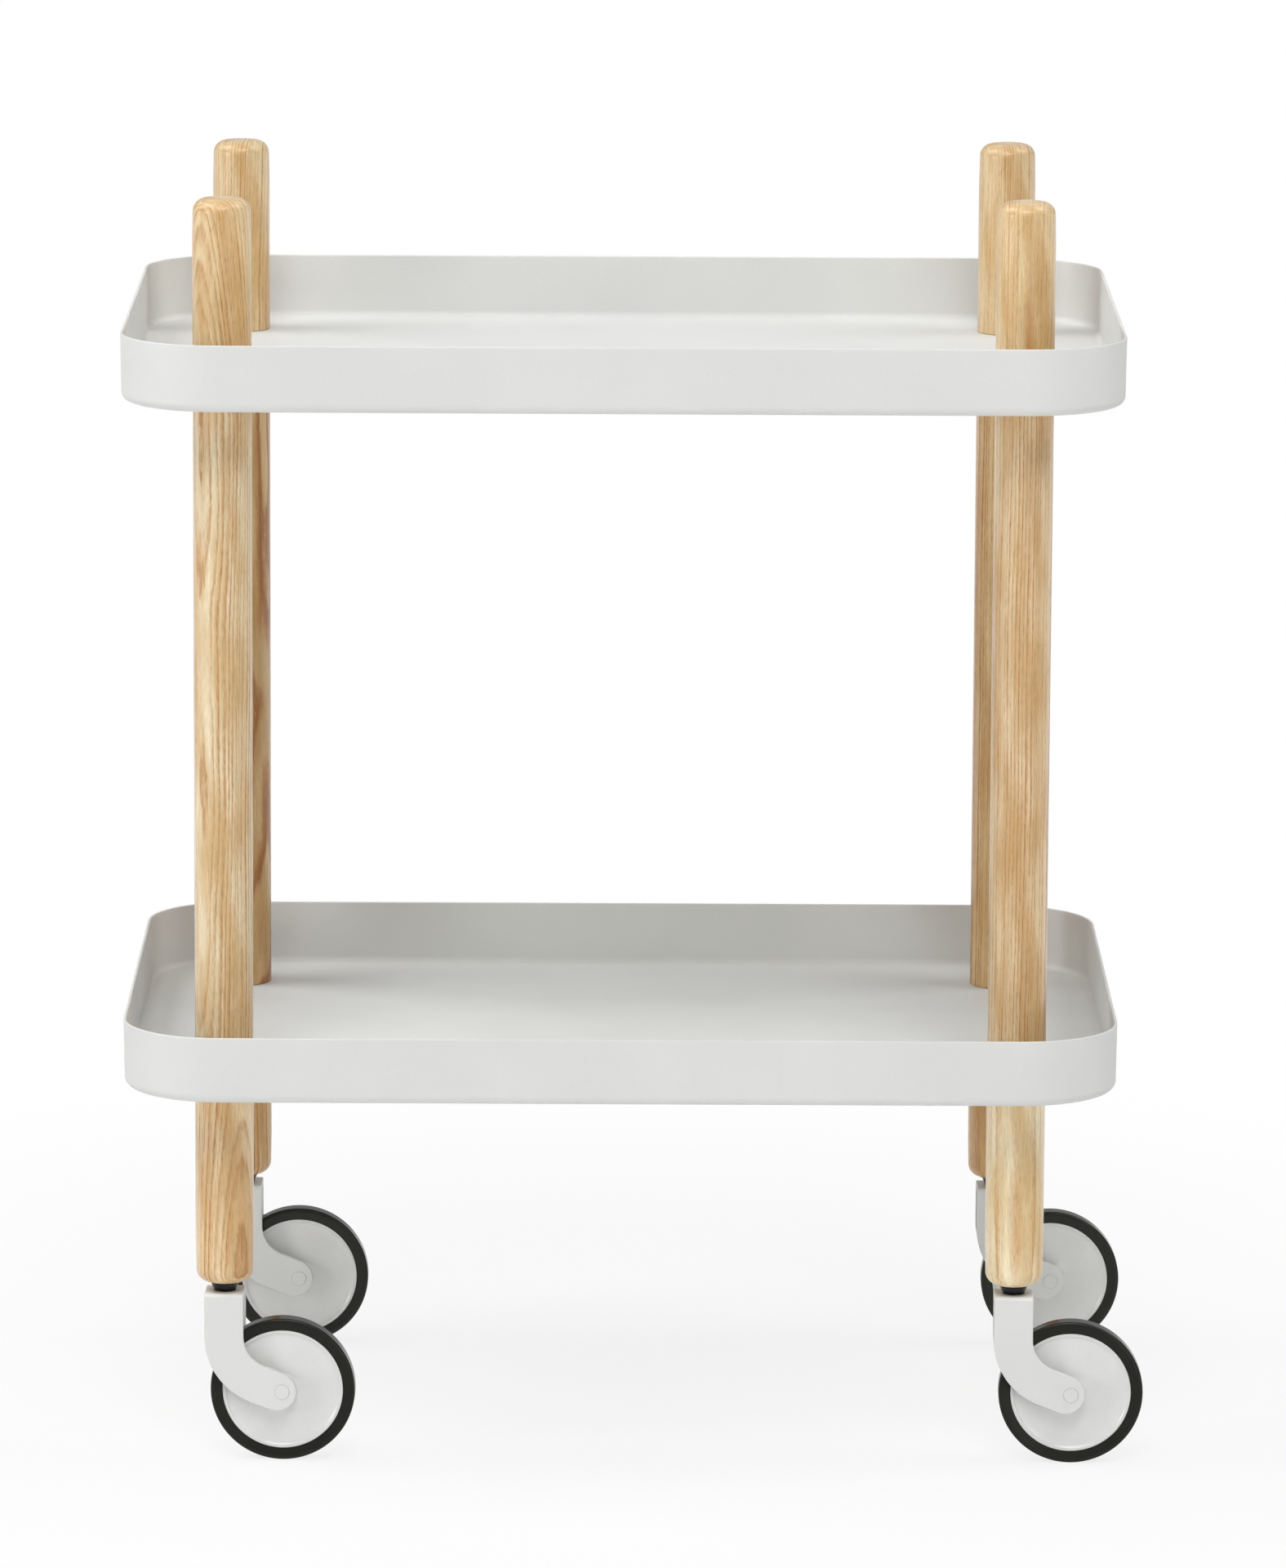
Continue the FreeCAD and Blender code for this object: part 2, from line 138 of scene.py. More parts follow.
def new_group(name, takes, gives=SKIN):
    """Node group with named sockets: its tree, what it takes and what it gives."""
    tree = bpy.data.node_groups.new(name, "ShaderNodeTree")
    for label, kind, value in takes:
        socket = tree.interface.new_socket(label, in_out="INPUT", socket_type="NodeSocket" + kind)
        if value is not None:
            socket.default_value = value
    for label, kind in gives:
        tree.interface.new_socket(label, in_out="OUTPUT", socket_type="NodeSocket" + kind)
    return tree, tree.nodes.new("NodeGroupInput").outputs, tree.nodes.new("NodeGroupOutput").inputs


def give_skin(tree, gives, colour, roughness, height):
    """Leads a finish's colour, roughness and relief out of its group."""
    tree.links.new(colour, gives["Colour"])
    tree.links.new(roughness, gives["Roughness"])
    tree.links.new(height, gives["Height"])
    return tree


def input_names(values):
    """The same values under the names of a group's inputs, where ring_width is called Ring Width."""
    return {key.replace("_", " ").title(): value for key, value in values.items()}


def make_finish(name, group, values, levels, origin=(0, 0, 0), turn=0.0):
    """Material with a group's skin, seen from a piece's own origin; levels are set on the shader itself."""
    material = bpy.data.materials.new(name)
    material.use_nodes = True
    tree = material.node_tree
    tree.nodes.clear()
    here = shader_node(tree, "TexCoord").outputs["Object"]
    place = shader_node(tree, "Mapping", {
        "Vector": here, "Location": origin, "Rotation": (0, 0, turn), "Scale": (MM, MM, MM)},
        vector_type="TEXTURE").outputs[0]
    skin = tree.nodes.new("ShaderNodeGroup")
    skin.node_tree = group
    feed(tree, skin, {"Place": place})
    feed(tree, skin, input_names(values))
    relief = shader_node(tree, "Bump", {"Height": skin.outputs["Height"], "Distance": MM, "Strength": 1.0})
    surface = shader_node(tree, "BsdfPrincipled", {
        "Base Color": skin.outputs["Colour"], "Roughness": skin.outputs["Roughness"],
        "Normal": relief.outputs[0]})
    feed(tree, surface, levels)
    shader_node(tree, "OutputMaterial", {"Surface": surface.outputs[0]})
    return material


def srgb(red, green, blue):
    """Colour written as it looks on a screen, 0 to 255, as the shader wants it."""
    values = []
    for level in (red, green, blue):
        share = level / 255
        values.append(share / 12.92 if share <= 0.04045 else ((share + 0.055) / 1.055) ** 2.4)
    return (*values, 1.0)


# Turned ash

# Cells of noise per mm, two ways across the grain and then along it
BEND_CELLS = (0.04, 0.04, 0.009)
SHIVER_CELLS = (0.5, 0.5, 0.07)
FIBRE_CELLS = (1.7, 1.7, 0.06)
DASH_CELLS = (2.2, 2.2, 0.22)
PATCH_CELLS = (0.09, 0.09, 0.016)
FADE_CELLS = (0.25, 0.25, 0.02)
# What is left of a place when its height along the grain is taken away
ACROSS_GRAIN = (1, 1, 0)
# How far the rings bend and shiver, in mm
BEND_REACH = 7.0
SHIVER_REACH = (0.9, 0.9, 0.0)
# Good and poor years: how fast they follow each other, and how many rings they shift
YEAR_PACE = 0.45
YEAR_SHIFT = 1.6
# The brown line in each ring and its dark core: where they rise and fall, as shares of the ring
LINE_RISE = (0.0, 0.22)
LINE_FALL = (0.24, 0.85)
CORE_RISE = (0.06, 0.2)
CORE_FALL = (0.22, 0.46)
# How strong a line is: its own share and the least, how it fades along the post, and its breaks
OWN_STRENGTH = 0.7
LEAST_STRENGTH = 0.4
FADE_LEVELS = (0.5, 1.2)
BREAK_LEVELS = (0.65, 1.2)
# The edge of a calm band, in mm, and how strong the lines are inside and outside it
CALM_EDGE = (-1.5, 1.0)
CALM_LEVELS = (0.25, 1.0)
# Pores lie mostly in the lines
PORE_SPAN = (0.52, 0.66)
PORES_IN_LINES = 0.7
PORES_BETWEEN = 0.3
# The colours, and how far each covers what is under it
PALE_WOOD = srgb(243, 223, 188)
HONEY_WOOD = srgb(218, 181, 128)
LINE_WOOD = srgb(206, 153, 90)
LINE_SHARE = 0.66
CORE_WOOD = srgb(180, 122, 64)
CORE_SHARE = 0.52
PORE_WOOD = srgb(176, 124, 76)
PORE_SHARE = 0.22
STREAK_WOOD = srgb(198, 134, 66)
STREAK_LEVELS = (0.6, 1.2)
FIBRE_LEVELS = (0.89, 1.08)
DASH_LEVELS = (1.06, 0.93)
# Roughness of the wood, and what fibres and pores add to it
WOOD_ROUGHNESS = 0.38
FIBRE_ROUGHNESS = 0.08
PORE_ROUGHNESS = 0.12
# Relief in mm
FIBRE_HEIGHT = 0.01
PORE_HEIGHT = -0.012
LACQUER = {"Coat Weight": 0.6, "Coat Roughness": 0.27}

ASH_TAKES = (
    ("Place", "Vector", None), ("Heart", "Vector", None), ("Lean", "Vector", None),
    ("Ring Width", "Float", 1.7), ("Waviness", "Float", 0.5), ("Line Strength", "Float", 1.0),
    ("Calm Place", "Float", 0.0), ("Calm Width", "Float", -30.0), ("Tint", "Color", WHITE),
    ("Streak Place", "Vector", None), ("Streak Size", "Vector", (6, 60, 40)),
    ("Streak Strength", "Float", 0.0),
)

# How each post was cut from the tree: where the tree's heart lies from the foot of the post's centre line,
# in mm, how far the heart leans per mm of height, the width and waviness of the rings, the strength of
# their lines, a calm band, a streak, and a colour factor that is partly the post's own tone and partly
# painted shade and light, darkening the back posts and lightening some front ones
ASH_CUTS = {
    # The colour factors below are partly painted shade: the back posts are darkened as if in shade, and the
    # front right bottom post is lightened
    "front_left_top_post": dict(
        heart=(45, 42, 0), lean=(-0.062, -0.062, 0), ring_width=1.6, waviness=0.5, line_strength=1.05,
        tint=(0.963, 0.912, 0.777, 1)),
    "front_right_top_post": dict(
        heart=(-200, 10, 0), lean=(0.004, 0, 0), ring_width=1.7, waviness=0.25, line_strength=0.9,
        calm_place=0.5, calm_width=5.5, streak_place=(1, -14.7, 28), streak_size=(4.5, 12, 38),
        streak_strength=0.8, tint=(0.948, 0.892, 0.751, 1)),
    "back_left_top_post": dict(
        heart=(-180, 12, 0), lean=(0.01, 0, 0), ring_width=1.7, waviness=0.6, line_strength=1.15,
        tint=(0.922, 0.892, 0.794, 1)),
    "back_right_top_post": dict(
        heart=(186, 24, 0), lean=(0.008, 0, 0), ring_width=1.5, waviness=0.4, line_strength=1.25,
        calm_place=-10, calm_width=6.5, tint=(0.913, 0.860, 0.741, 1)),
    "front_left_middle_post": dict(
        heart=(45, 42, 0), lean=(0.009, 0.009, 0), ring_width=1.7, waviness=0.8, line_strength=1.4,
        tint=(0.986, 1.016, 1.010, 1)),
    "front_right_middle_post": dict(
        heart=(-200, 6, 0), lean=(0.004, 0, 0), ring_width=1.9, waviness=0.5, line_strength=1.25,
        tint=(0.921, 0.873, 0.792, 1)),
    "back_left_middle_post": dict(
        heart=(20, -18, 0), lean=(0, 0, 0), ring_width=8.0, waviness=5.0, line_strength=2.4,
        tint=(0.773, 0.659, 0.462, 1)),
    "back_right_middle_post": dict(
        heart=(-190, -8, 0), lean=(0.004, 0, 0), ring_width=1.65, waviness=0.25, line_strength=1.6,
        tint=(0.886, 0.767, 0.545, 1)),
    "front_left_bottom_post": dict(
        heart=(-38, 47, 0), lean=(0.029, -0.035, 0), ring_width=1.8, waviness=0.4, line_strength=1.35,
        tint=(0.987, 0.928, 0.820, 1)),
    "front_right_bottom_post": dict(
        heart=(1, 62, 0), lean=(0, 0.004, 0), ring_width=2.1, waviness=0.3, line_strength=0.8,
        calm_place=0, calm_width=8, streak_place=(0, -14.7, 30), streak_size=(4, 12, 45),
        streak_strength=0.5, tint=(1.113, 1.172, 1.171, 1)),
    "back_left_bottom_post": dict(
        heart=(60, 20, 0), lean=(-0.06, 0.02, 0), ring_width=1.7, waviness=0.6, line_strength=1.8,
        tint=(0.916, 0.815, 0.597, 1)),
    "back_right_bottom_post": dict(
        heart=(-20, 60, 0), lean=(0.01, 0.01, 0), ring_width=2.4, waviness=0.6, line_strength=0.8,
        tint=(0.813, 0.604, 0.365, 1)),
}


def count_rings(tree, takes, place, height):
    """How many rings lie between a place and the tree's leaning heart."""
    bend = noise_push(tree, place, BEND_CELLS, SMOOTH)
    bend = scaled(tree, bend, calc(tree, "MULTIPLY", takes["Waviness"], BEND_REACH))
    shiver = noise_push(tree, place, SHIVER_CELLS, ROUGH)
    shiver = calc_vector(tree, "MULTIPLY", shiver, SHIVER_REACH)
    heart = calc_vector(tree, "ADD", takes["Heart"], scaled(tree, takes["Lean"], height))
    moved = calc_vector(tree, "ADD", calc_vector(tree, "ADD", place, bend), shiver)
    across = calc_vector(tree, "MULTIPLY", calc_vector(tree, "SUBTRACT", moved, heart), ACROSS_GRAIN)
    rings = calc(tree, "DIVIDE", length(tree, across), takes["Ring Width"])
    years = shader_node(tree, "TexNoise", {
        "W": calc(tree, "MULTIPLY", rings, YEAR_PACE), "Scale": 1.0, "Detail": SMOOTH[0]},
        noise_dimensions="1D").outputs["Fac"]
    return calc(tree, "ADD", rings, calc(tree, "MULTIPLY", years, YEAR_SHIFT))


def line_strength(tree, takes, place, side, rings, dashes):
    """How strongly a ring's line shows at a place."""
    own = shader_node(tree, "TexWhiteNoise", {"W": calc(tree, "FLOOR", rings)}, noise_dimensions="1D")
    fade = noise_level(tree, place, FADE_CELLS)
    from_calm = calc(tree, "ABSOLUTE", calc(tree, "SUBTRACT", side, takes["Calm Place"]))
    past_calm = calc(tree, "SUBTRACT", from_calm, takes["Calm Width"])
    return product(
        tree,
        calc(tree, "MULTIPLY_ADD", own.outputs["Value"], OWN_STRENGTH, LEAST_STRENGTH),
        ramp(tree, fade, COMMON_NOISE, FADE_LEVELS),
        ramp(tree, dashes, COMMON_NOISE, BREAK_LEVELS),
        takes["Line Strength"],
        ramp(tree, past_calm, CALM_EDGE, CALM_LEVELS))


def streak_share(tree, takes, place, fibres):
    """How far the soft dark streak covers a place."""
    from_streak = calc_vector(tree, "SUBTRACT", place, takes["Streak Place"])
    from_streak = length(tree, calc_vector(tree, "DIVIDE", from_streak, takes["Streak Size"]))
    fading = ramp(tree, from_streak, WHOLE, GOING_OUT)
    return product(tree, fading, takes["Streak Strength"], ramp(tree, fibres, MOST_NOISE, STREAK_LEVELS))


def make_ash_group():
    """Growth rings of ash round the tree's heart, broken up by pores and fibres, with a soft streak."""
    tree, takes, gives = new_group("turned_ash", ASH_TAKES)
    place = takes["Place"]
    side, _, height = split_place(tree, place)
    fibres = noise_level(tree, place, FIBRE_CELLS, FINE)
    dashes = noise_level(tree, place, DASH_CELLS, GRAINY)
    patches = noise_level(tree, place, PATCH_CELLS)

    rings = count_rings(tree, takes, place, height)
    within = calc(tree, "FRACT", rings)
    line = product(tree, ramp(tree, within, LINE_RISE), ramp(tree, within, LINE_FALL, GOING_OUT))
    core = product(tree, ramp(tree, within, CORE_RISE), ramp(tree, within, CORE_FALL, GOING_OUT))
    strength = line_strength(tree, takes, place, side, rings, dashes)
    in_lines = calc(tree, "MULTIPLY_ADD", line, PORES_IN_LINES, PORES_BETWEEN)
    pores = product(tree, ramp(tree, dashes, PORE_SPAN), in_lines)

    wood = mixed(tree, ramp(tree, patches, COMMON_NOISE), PALE_WOOD, HONEY_WOOD)
    wood = mixed(tree, product(tree, line, strength, LINE_SHARE), wood, LINE_WOOD)
    wood = mixed(tree, product(tree, core, strength, CORE_SHARE), wood, CORE_WOOD)
    wood = mixed(tree, product(tree, pores, PORE_SHARE), wood, PORE_WOOD)
    wood = mixed(tree, streak_share(tree, takes, place, fibres), wood, STREAK_WOOD)
    # Painted shade and light: the wood is multiplied by each post's factor, which holds its own tone and
    # the shade or light painted on it
    wood = mixed(tree, 1.0, wood, takes["Tint"], "MULTIPLY")
    fibre_level = ramp(tree, fibres, MOST_NOISE, FIBRE_LEVELS)
    level = product(tree, fibre_level, ramp(tree, dashes, MOST_NOISE, DASH_LEVELS))
    grey = shader_node(tree, "CombineColor", {0: level, 1: level, 2: level}).outputs[0]
    wood = mixed(tree, 1.0, wood, grey, "MULTIPLY")

    rough = calc(tree, "MULTIPLY_ADD", fibres, FIBRE_ROUGHNESS, WOOD_ROUGHNESS)
    rough = calc(tree, "ADD", rough, product(tree, pores, PORE_ROUGHNESS))
    relief = calc(tree, "ADD", product(tree, pores, PORE_HEIGHT), product(tree, fibres, FIBRE_HEIGHT))
    return give_skin(tree, gives, wood, rough, relief)


def make_ash(post, group):
    """Lacquered ash for one post, its grain counted from the foot of the post's centre line."""
    low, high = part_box(post)
    foot = ((low.x + high.x) / 2, (low.y + high.y) / 2, low.z)
    return make_finish("ash_" + post, group, ASH_CUTS[post], LACQUER, foot)


# Powder coat

# Cells of noise per mm
TONE_CELLS = (0.02, 0.02, 0.02)
GRAIN_CELLS = (2.2, 2.2, 2.2)
PEEL_CELLS = (0.75, 0.75, 0.75)
# How much the slow change of tone and the grains each say about the colour
TONE_SHARE = 0.45
GRAIN_SHARE = 0.55
# Roughness spread by the grains, and relief in mm
GRAIN_ROUGHNESS = 0.10
PEEL_HEIGHT = 0.010
GRAIN_HEIGHT = 0.004

COAT_TAKES = (
    ("Place", "Vector", None), ("Pale", "Color", WHITE), ("Deep", "Color", WHITE),
    ("Gloss Level", "Float", 0.4), ("Peel", "Float", 1.0),
)
TRAY_COAT = dict(pale=srgb(227, 228, 226), deep=srgb(221, 222, 220), gloss_level=0.46, peel=1.0)
TRAY_SHINE = {"Specular IOR Level": 0.15}
CASTER_COAT = dict(pale=srgb(232, 232, 230), deep=srgb(227, 227, 225), gloss_level=0.36, peel=0.8)
CASTER_SHINE = {"Specular IOR Level": 0.5}


def make_powder_group():
    """Baked powder: fine orange peel, grains of texture and a faint drift of tone."""
    tree, takes, gives = new_group("powder_coat", COAT_TAKES)
    place = takes["Place"]
    tone = noise_level(tree, place, TONE_CELLS, CLOUDY)
    grains = noise_level(tree, place, GRAIN_CELLS, GRAINY)
    peel = noise_level(tree, place, PEEL_CELLS)
    share = calc(tree, "ADD", product(tree, tone, TONE_SHARE), product(tree, grains, GRAIN_SHARE))
    colour = mixed(tree, ramp(tree, share, COMMON_NOISE), takes["Pale"], takes["Deep"])
    smoothest = calc(tree, "SUBTRACT", takes["Gloss Level"], GRAIN_ROUGHNESS / 2)
    rough = calc(tree, "MULTIPLY_ADD", grains, GRAIN_ROUGHNESS, smoothest)
    relief = calc(tree, "ADD", product(tree, peel, PEEL_HEIGHT), product(tree, grains, GRAIN_HEIGHT))
    return give_skin(tree, gives, colour, rough, product(tree, relief, takes["Peel"]))


# Wheels and swivels

# What is left of a place when its distance along the axle is taken away
ACROSS_AXLE = (1, 0, 1)
# Cells of noise per mm
CLOUD_CELLS = (0.06, 0.06, 0.06)
FLECK_CELLS = (1.7, 1.7, 1.7)
# How much the clouds and the flecks each say about the colour
CLOUD_SHARE = 0.6
FLECK_SHARE = 0.4
# The edge of a rim in mm, and how much of the rim the flecks leave
RIM_EDGE = (-0.4, 0.4)
RUBBED_LEVELS = (0.55, 1.0)
# Roughness spread by the flecks, and their relief in mm
FLECK_ROUGHNESS = 0.12
FLECK_HEIGHT = 0.006

MOULDED_TAKES = (
    ("Place", "Vector", None), ("Pale", "Color", WHITE), ("Deep", "Color", WHITE),
    ("Rim Colour", "Color", WHITE), ("Rim Radius", "Float", 36.0), ("Rim Share", "Float", 0.0),
    ("Gloss Level", "Float", 0.3), ("Rim Gloss Level", "Float", 0.3), ("Ring Pitch", "Float", 0.6),
    ("Ring Depth", "Float", 0.002),
)
HUB_PLASTIC = dict(
    pale=srgb(235, 235, 233), deep=srgb(228, 228, 226), gloss_level=0.18, ring_pitch=0.9, ring_depth=0.0012)
TYRE_RUBBER = dict(
    pale=srgb(30, 30, 22), deep=srgb(22, 22, 15), rim_colour=srgb(34, 32, 27), rim_share=0.7,
    rim_radius=36.2, gloss_level=0.38, rim_gloss_level=0.16, ring_pitch=0.5, ring_depth=0.001)
TYRE_SHINE = {"Specular IOR Level": 0.36}
BLACK_PLASTIC = dict(
    pale=srgb(24, 23, 22), deep=srgb(18, 17, 17), gloss_level=0.14, ring_pitch=1.1, ring_depth=0.0004)


def make_moulded_group():
    """Moulded or turned round a wheel's axle: rings of tool marks, flecks, and a rim that differs."""
    tree, takes, gives = new_group("moulded_round", MOULDED_TAKES)
    place = takes["Place"]
    radius = length(tree, calc_vector(tree, "MULTIPLY", place, ACROSS_AXLE))
    clouds = noise_level(tree, place, CLOUD_CELLS, CLOUDY)
    flecks = noise_level(tree, place, FLECK_CELLS, FINE)
    share = calc(tree, "ADD", product(tree, clouds, CLOUD_SHARE), product(tree, flecks, FLECK_SHARE))
    colour = mixed(tree, ramp(tree, share, COMMON_NOISE), takes["Pale"], takes["Deep"])
    past_rim = calc(tree, "SUBTRACT", radius, takes["Rim Radius"])
    rim = product(tree, ramp(tree, past_rim, RIM_EDGE), takes["Rim Share"])
    rubbed = product(tree, rim, ramp(tree, flecks, MOST_NOISE, RUBBED_LEVELS))
    colour = mixed(tree, rubbed, colour, takes["Rim Colour"])
    rough = product(tree, calc(tree, "SUBTRACT", flecks, NOISE_MIDDLE), FLECK_ROUGHNESS)
    rough = calc(tree, "ADD", takes["Gloss Level"], rough)
    rim_change = calc(tree, "SUBTRACT", takes["Rim Gloss Level"], takes["Gloss Level"])
    rough = calc(tree, "MULTIPLY_ADD", rim, rim_change, rough)
    turns = product(tree, calc(tree, "DIVIDE", radius, takes["Ring Pitch"]), 2 * math.pi)
    relief = product(tree, calc(tree, "SINE", turns), takes["Ring Depth"])
    relief = calc(tree, "MULTIPLY_ADD", flecks, FLECK_HEIGHT, relief)
    return give_skin(tree, gives, colour, rough, relief)


# Zinc plate: cells of noise per mm, its two tones, and the brushing's colour, share, roughness and relief
SPANGLE_CELLS = (0.5, 0.5, 0.5)
BRUSHING_CELLS = (0.6, 0.6, 9.0)
SPANGLE_SPAN = (0.35, 0.65)
BLUE_ZINC = srgb(206, 207, 206)
STRAW_ZINC = srgb(196, 192, 176)
BRUSHED_ZINC = srgb(150, 150, 148)
BRUSHED_SHARE = 0.35
ZINC_ROUGHNESS = 0.24
BRUSHING_ROUGHNESS = 0.18
BRUSHING_HEIGHT = 0.006
BARE_METAL = {"Metallic": 1.0}


def make_zinc_group():
    """Zinc plate: spangle, a straw hue and fine brushing round the piece's length."""
    tree, takes, gives = new_group("zinc_plate", (("Place", "Vector", None),))
    spangle = noise_level(tree, takes["Place"], SPANGLE_CELLS, CLOUDY)
    brushing = noise_level(tree, takes["Place"], BRUSHING_CELLS)
    colour = mixed(tree, ramp(tree, spangle, SPANGLE_SPAN), BLUE_ZINC, STRAW_ZINC)
    colour = mixed(tree, product(tree, brushing, BRUSHED_SHARE), colour, BRUSHED_ZINC)
    rough = calc(tree, "MULTIPLY_ADD", brushing, BRUSHING_ROUGHNESS, ZINC_ROUGHNESS)
    return give_skin(tree, gives, colour, rough, product(tree, brushing, BRUSHING_HEIGHT))


# Which finish each piece wears

HIDDEN_STEEL = (
    "upper_tray_studs", "lower_tray_studs", "top_post_inserts", "middle_post_inserts",
    "bottom_post_inserts", "caster_inserts",
)


def dress(material, *nodes):
    """Gives CAD nodes their finish."""
    for node_name in nodes:
        for slot in frame["nodes"][node_name].material_slots:
            slot.material = material


def dress_caster(corner, moulded, caster_coat, zinc):
    """Finishes of one swivel caster, with the marks on its wheel centred on the axle."""
    joints = {joint["child"]: joint for joint in frame["joints"]}
    roll = joints[corner + "_wheel"]
    swivel = joints[corner + "_caster"]
    centre = tuple(roll["pos_m"])
    turn = math.atan2(-roll["axis"][0], roll["axis"][1])
    leg = (swivel["pos_m"][0], swivel["pos_m"][1], 0)
    hub = make_finish("hub_plastic_" + corner, moulded, HUB_PLASTIC, {}, centre, turn)
    tyre = make_finish("tyre_rubber_" + corner, moulded, TYRE_RUBBER, TYRE_SHINE, centre, turn)
    gloss_black = make_finish("black_plastic_" + corner, moulded, BLACK_PLASTIC, {}, leg)
    dress(hub, corner + "_wheel_hub")
    dress(tyre, corner + "_tyre")
    dress(gloss_black, corner + "_swivel_collar", corner + "_thrust_washer")
    dress(caster_coat, corner + "_caster_fork", corner + "_wheel_pin")
    dress(zinc, corner + "_axle_sleeve", corner + "_caster_stem")


def dress_everything():
    """Gives every CAD node its finish."""
    ash = make_ash_group()
    for post in ASH_CUTS:
        dress(make_ash(post, ash), post)
    powder = make_powder_group()
    tray_coat = make_finish("tray_powder_coat_baked", powder, TRAY_COAT, TRAY_SHINE)
    caster_coat = make_finish("caster_powder_coat_baked", powder, CASTER_COAT, CASTER_SHINE)
    zinc = make_finish("zinc_steel", make_zinc_group(), {}, BARE_METAL)
    dress(tray_coat, "upper_tray", "lower_tray")
    dress(zinc, *HIDDEN_STEEL)
    moulded = make_moulded_group()
    for corner in CORNERS:
        dress_caster(corner, moulded, caster_coat, zinc)


# Studio and camera

# The floor in metres: its width, and where it turns from shaded paper to plain white
FLOOR_WIDTH = 40
WHITE_FROM = (0.3, 0.9)
# How white the floor is of itself near the trolley and far from it
FLOOR_GLOW = (0.80, 1.0)
PAPER = (0.86, 0.86, 0.86, 1)
# Gloss sees the floor dimmer in front of the trolley than behind it
DIMMER_FROM = (-0.3, 0.1)
DIMMER_BY = (0.55, 0.0)
# The air towards the camera's side and towards the far side: where one passes into the other, how bright
# gloss mirrors each of them, and how much light each sheds
MIRROR_PASSAGE = (0.0, 0.9)
MIRRORED_AIR = (0.12, 0.5)
LIGHT_PASSAGE = (-0.1, 0.1)
AIR_LIGHT = (0.2, 1.45)
# Softboxes: name, place in metres, width in metres and power in watts
SOFTBOXES = (
    ("softbox_low_left", (-4.4, -2.35, 0.9), 1.0, 44),
    ("softbox_low_right", (2.4, -4.3, 0.9), 1.6, 29),
    ("softbox_front_top", (0, -3, 4), 2.4, 103),
    ("softbox_left_top", (-3, 0, 4), 2.4, 94),
    ("softbox_right_top", (3, 0, 4), 2.4, 56),
    ("softbox_top", (0, 0, 5), 2.4, 11),
)
SOFTBOX_AIM = Vector((0, 0, 0.35))
# The camera, solved from the photograph: place in metres, angles in radians, lens in its pixels, its rows
CAMERA_PLACE = Vector((-0.0088, -4.8245, 1.2247))
CAMERA_PAN = 0.0025
CAMERA_PITCH = 0.1843
CAMERA_ROLL = 0.0051
LENS_PIXELS = 11691.5
PHOTO_ROWS = 1920
SENSOR_MM = 36.0
CLIP_END = 100.0


def make_floor():
    """Wide white floor that keeps the trolley's shade; it is clear from below."""
    bpy.ops.mesh.primitive_plane_add(size=FLOOR_WIDTH)
    floor = bpy.context.object
    floor.name = "studio_floor"
    material = bpy.data.materials.new("studio_white")
    material.use_nodes = True
    tree = material.node_tree
    tree.nodes.clear()
    here = shader_node(tree, "TexCoord").outputs["Object"]
    path = shader_node(tree, "LightPath").outputs
    paper = shader_node(tree, "BsdfDiffuse", {"Color": PAPER})
    behind_trolley = split_place(tree, here)[1]
    missing = product(tree, path["Is Glossy Ray"], ramp(tree, behind_trolley, DIMMER_FROM, DIMMER_BY))
    glow = shader_node(tree, "Emission", {"Color": WHITE, "Strength": calc(tree, "SUBTRACT", 1.0, missing)})
    glow_share = ramp(tree, length(tree, here), WHITE_FROM, FLOOR_GLOW)
    seen = shader_node(tree, "MixShader", {0: glow_share, 1: paper.outputs[0], 2: glow.outputs[0]})
    looked_at = calc(tree, "MAXIMUM", path["Is Camera Ray"], path["Is Glossy Ray"])
    looked_at = calc(tree, "MAXIMUM", looked_at, path["Is Transmission Ray"])
    lit = shader_node(tree, "MixShader", {0: looked_at, 1: paper.outputs[0], 2: seen.outputs[0]})
    clear = shader_node(tree, "BsdfTransparent")
    from_below = shader_node(tree, "NewGeometry").outputs["Backfacing"]
    both = shader_node(tree, "MixShader", {0: from_below, 1: lit.outputs[0], 2: clear.outputs[0]})
    shader_node(tree, "OutputMaterial", {"Surface": both.outputs[0]})
    floor.data.materials.append(material)


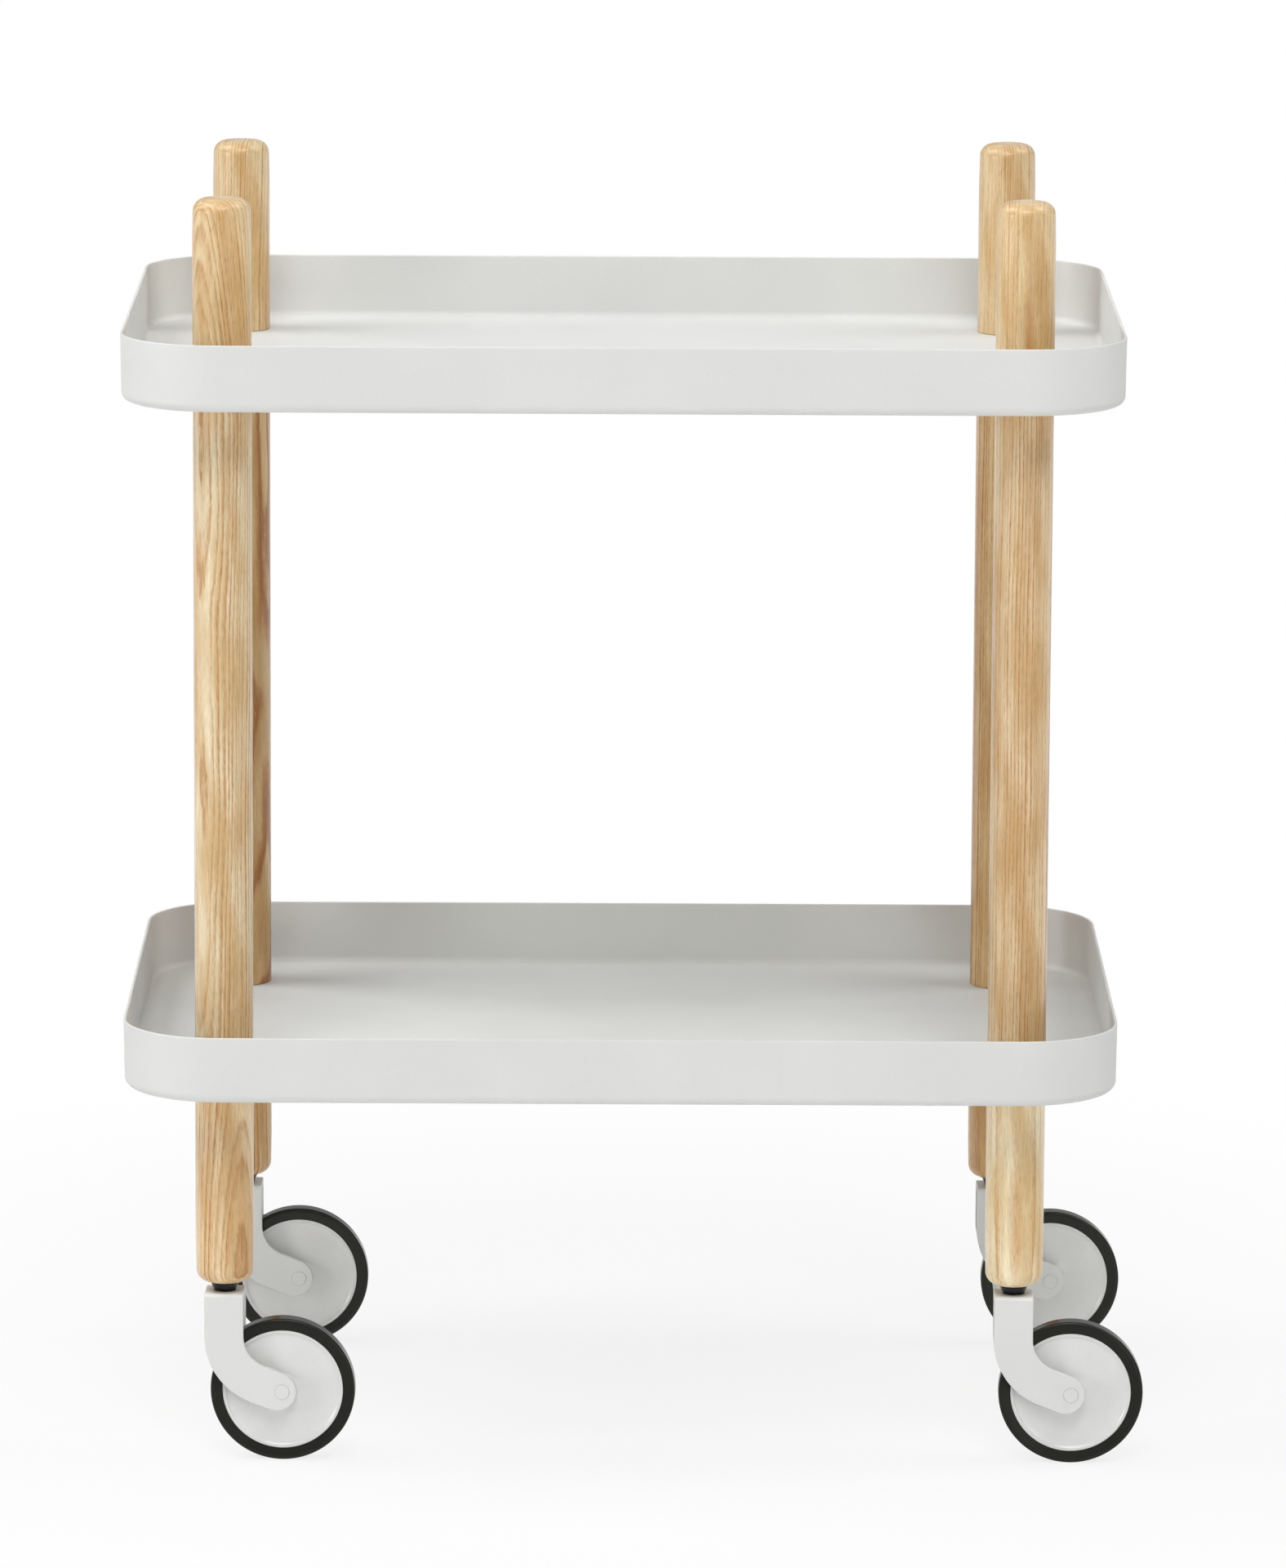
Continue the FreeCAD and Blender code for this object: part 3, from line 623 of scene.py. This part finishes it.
def make_world():
    """White air where it is looked at; it lights and is mirrored mostly from the far side."""
    world = bpy.data.worlds.new("studio_air")
    bpy.context.scene.world = world
    world.use_nodes = True
    tree = world.node_tree
    tree.nodes.clear()
    path = shader_node(tree, "LightPath").outputs
    toward = shader_node(tree, "TexCoord").outputs["Generated"]
    depth = split_place(tree, toward)[1]
    mirrored = ramp(tree, depth, MIRROR_PASSAGE, MIRRORED_AIR)
    light = calc(tree, "MULTIPLY", product(tree, depth, depth), ramp(tree, depth, LIGHT_PASSAGE, AIR_LIGHT))
    indirect = shader_node(tree, "Mix", {0: path["Is Glossy Ray"], 2: light, 3: mirrored}).outputs[0]
    through = calc(tree, "MAXIMUM", path["Is Camera Ray"], path["Is Transmission Ray"])
    strength = calc(tree, "MAXIMUM", through, indirect)
    air = shader_node(tree, "Background", {"Color": WHITE, "Strength": strength})
    shader_node(tree, "OutputWorld", {"Surface": air.outputs[0]})


def add_softbox(name, place, width, power):
    """Square area lamp that faces the trolley."""
    lamp_data = bpy.data.lights.new(name, "AREA")
    lamp_data.shape = "SQUARE"
    lamp_data.size = width
    lamp_data.energy = power
    lamp = bpy.data.objects.new(name, lamp_data)
    lamp.visible_camera = False
    lamp.location = place
    lamp.rotation_euler = (SOFTBOX_AIM - Vector(place)).to_track_quat("-Z", "Y").to_euler()
    bpy.context.scene.collection.objects.link(lamp)


def add_camera():
    """Camera of the photograph: its place, pan, downward pitch and slight roll."""
    ahead = Vector((
        math.sin(CAMERA_PAN) * math.cos(CAMERA_PITCH),
        math.cos(CAMERA_PAN) * math.cos(CAMERA_PITCH),
        -math.sin(CAMERA_PITCH)))
    level = Vector((math.cos(CAMERA_PAN), -math.sin(CAMERA_PAN), 0))
    upright = level.cross(ahead)
    right = math.cos(CAMERA_ROLL) * level + math.sin(CAMERA_ROLL) * upright
    top = -math.sin(CAMERA_ROLL) * level + math.cos(CAMERA_ROLL) * upright
    data = bpy.data.cameras.new("photo_camera")
    data.sensor_fit = "AUTO"
    data.sensor_width = SENSOR_MM
    data.lens = SENSOR_MM * LENS_PIXELS / PHOTO_ROWS
    data.clip_end = CLIP_END
    camera = bpy.data.objects.new("photo_camera", data)
    turn = Matrix((right, top, -ahead)).transposed().to_4x4()
    camera.matrix_world = Matrix.Translation(CAMERA_PLACE) @ turn
    bpy.context.scene.collection.objects.link(camera)
    bpy.context.scene.camera = camera


dress_everything()
make_floor()
make_world()
for softbox in SOFTBOXES:
    add_softbox(*softbox)
add_camera()
bpy.context.scene.view_settings.view_transform = "Standard"
